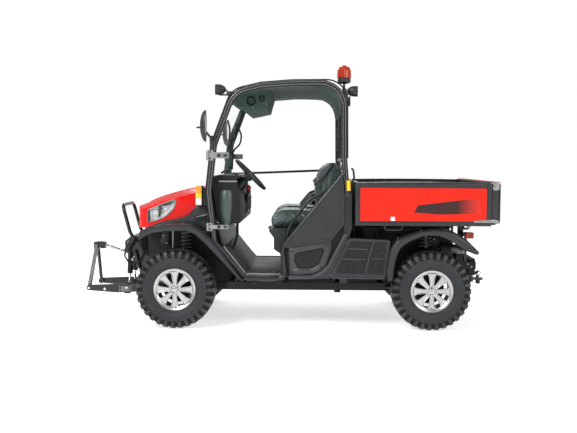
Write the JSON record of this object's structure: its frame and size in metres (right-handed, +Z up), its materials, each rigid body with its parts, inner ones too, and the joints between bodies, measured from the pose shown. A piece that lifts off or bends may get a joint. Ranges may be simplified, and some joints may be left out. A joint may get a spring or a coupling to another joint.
{
  "type": "side by side utility vehicle",
  "caption": "Utility vehicle with an open-sided cab, seats side by side, a tipping load bed, steered and driven wheels, a lifting front linkage and a brush guard.",
  "frame": {"origin": "on the ground, below the centre of the whole vehicle", "axes": "+X towards the rear of the vehicle, -Y towards its driver (left) side, +Z up"},
  "size_m": [3.373, 1.81, 2.081],
  "materials": {
    "frame_black": "satin black",
    "suspension_black": "satin",
    "silver_alloy": "satin",
    "zinc_steel": "satin",
    "chrome_rod": "polished",
    "tyre_rubber": "matte",
    "black_plastic": "grained",
    "interior_grey": "grained",
    "seat_vinyl": "grained",
    "hood_red": "gloss",
    "bed_red": "gloss",
    "clear_glass": "clear",
    "lamp_lens": "clear",
    "amber_lens": "clear",
    "engine_iron": "rough",
    "mirror_black": "satin"
  },
  "bodies": {
    "chassis": {"beacon_lens": "amber_lens", "cab_frame": "frame_black", "cab_glass": "clear_glass", "chassis_frame": "frame_black", "controls": "black_plastic", "cowl": "black_plastic", "dashboard": "interior_grey", "door_frames": "frame_black", "drawbar": "frame_black", "engine_block": "engine_iron", "fender_stays": "frame_black", "floor_pan": "black_plastic", "front_fenders": "black_plastic", "front_suspension": "suspension_black", "hinge_brackets": "zinc_steel", "hip_bars": "frame_black", "hitch_tower": "frame_black", "lift_barrels": "suspension_black", "marker_lamps": "lamp_lens", "mirrors": "mirror_black", "muffler": "zinc_steel", "overhead_console": "interior_grey", "quarter_panels": "black_plastic", "rear_axle": "suspension_black", "rear_fenders": "black_plastic", "rear_frame": "frame_black", "rear_post_boxes": "frame_black", "rear_wall": "interior_grey", "roof_lights": "black_plastic", "roof_panel": "black_plastic", "seat_backs": "seat_vinyl", "seat_base": "interior_grey", "seat_cushions": "seat_vinyl", "service_panels": "black_plastic", "side_sills": "frame_black", "tail_lamps": "amber_lens"},
    "wheel_front_left": {"tyre_front_left": "tyre_rubber", "rim_front_left": "silver_alloy"},
    "wheel_front_right": {"tyre_front_right": "tyre_rubber", "rim_front_right": "silver_alloy"},
    "wheel_rear_left": {"tyre_rear_left": "tyre_rubber", "rim_rear_left": "silver_alloy"},
    "wheel_rear_right": {"tyre_rear_right": "tyre_rubber", "rim_rear_right": "silver_alloy"},
    "left_knuckle": {"knuckle_left": "suspension_black"},
    "right_knuckle": {"knuckle_right": "suspension_black"},
    "steering_rack": {"tie_rod": "zinc_steel"},
    "steering_wheel": {"steering_wheel": "black_plastic"},
    "hood": {"hood": "hood_red", "headlamps": "lamp_lens", "grille": "black_plastic"},
    "bed": {"bed_tub": "frame_black", "bed_sides": "bed_red"},
    "tailgate": {"tailgate": "bed_red"},
    "dump_barrel": {"dump_barrel": "suspension_black"},
    "dump_rod": {"dump_rod": "chrome_rod"},
    "hitch_arms": {"hitch_arms": "frame_black"},
    "hitch_coupler": {"hitch_coupler": "frame_black"},
    "top_link": {"top_link": "chrome_rod"},
    "lift_rods": {"lift_rods": "chrome_rod"}
  },
  "joints": [
    {"name": "steer_left", "type": "hinge", "parent": "chassis", "child": "left_knuckle", "pos_m": [-0.85, -0.545, 0.311], "axis": [0, 0, 1], "range_deg": [-30, 30]},
    {"name": "steer_right", "type": "hinge", "parent": "chassis", "child": "right_knuckle", "pos_m": [-0.85, 0.545, 0.311], "axis": [0, 0, 1], "range_deg": [-30, 30]},
    {"name": "rack_slide", "type": "slide", "parent": "chassis", "child": "steering_rack", "axis": [0, 1, 0], "range_m": [-0.048, 0.048]},
    {"name": "steering_wheel_turn", "type": "hinge", "parent": "chassis", "child": "steering_wheel", "pos_m": [-0.283, -0.33, 1.207], "axis": [0.7071, 0, 0.7071], "range_deg": [-540, 540]},
    {"name": "roll_front_left", "type": "hinge", "parent": "left_knuckle", "child": "wheel_front_left", "pos_m": [-0.85, -0.625, 0.311], "axis": [0, 1, 0], "continuous": true},
    {"name": "roll_front_right", "type": "hinge", "parent": "right_knuckle", "child": "wheel_front_right", "pos_m": [-0.85, 0.625, 0.311], "axis": [0, 1, 0], "continuous": true},
    {"name": "roll_rear_left", "type": "hinge", "parent": "chassis", "child": "wheel_rear_left", "pos_m": [1.155, -0.625, 0.311], "axis": [0, 1, 0], "continuous": true},
    {"name": "roll_rear_right", "type": "hinge", "parent": "chassis", "child": "wheel_rear_right", "pos_m": [1.155, 0.625, 0.311], "axis": [0, 1, 0], "continuous": true},
    {"name": "hood_lift", "type": "hinge", "parent": "chassis", "child": "hood", "pos_m": [-0.637, 0, 1.089], "axis": [0, 1, 0], "range_deg": [0, 50]},
    {"name": "bed_tip", "type": "hinge", "parent": "chassis", "child": "bed", "pos_m": [1.44, 0, 0.79], "axis": [0, 1, 0], "range_deg": [0, 40]},
    {"name": "tailgate_drop", "type": "hinge", "parent": "bed", "child": "tailgate", "pos_m": [1.633, 0, 0.84], "axis": [0, 1, 0], "range_deg": [0, 90]},
    {"name": "dump_barrel_swing", "type": "hinge", "parent": "chassis", "child": "dump_barrel", "pos_m": [0.93, 0, 0.47], "axis": [0, 1, 0], "range_deg": [-8, 8]},
    {"name": "dump_rod_slide", "type": "slide", "parent": "dump_barrel", "child": "dump_rod", "axis": [0.5105, 0, 0.8599], "range_m": [-0.005, 0.23]},
    {"name": "hitch_lift", "type": "hinge", "parent": "chassis", "child": "hitch_arms", "pos_m": [-1.08, 0, 0.25], "axis": [0, 1, 0], "range_deg": [-8, 14]},
    {"name": "coupler_tilt", "type": "hinge", "parent": "hitch_arms", "child": "hitch_coupler", "pos_m": [-1.655, 0, 0.245], "axis": [0, 1, 0], "range_deg": [-8, 8]},
    {"name": "top_link_swing", "type": "hinge", "parent": "chassis", "child": "top_link", "pos_m": [-1.29, 0, 0.483], "axis": [0, 1, 0], "range_deg": [-30, 30]},
    {"name": "lift_rod_slide", "type": "slide", "parent": "chassis", "child": "lift_rods", "axis": [0.0394, 0, 0.9992], "range_m": [-0.05, 0.08]}
  ],
  "couplings": [
    {"joint": "steer_right", "follows": "steer_left", "ratio": 1},
    {"joint": "rack_slide", "follows": "steer_left", "m_per_rad": -0.086},
    {"joint": "steering_wheel_turn", "follows": "steer_left", "ratio": 18},
    {"joint": "dump_barrel_swing", "follows": "bed_tip", "ratio": -0.15},
    {"joint": "dump_rod_slide", "follows": "bed_tip", "m_per_rad": 0.308},
    {"joint": "coupler_tilt", "follows": "hitch_lift", "ratio": -0.36},
    {"joint": "top_link_swing", "follows": "hitch_lift", "ratio": 1.87},
    {"joint": "lift_rod_slide", "follows": "hitch_lift", "m_per_rad": 0.255}
  ]
}
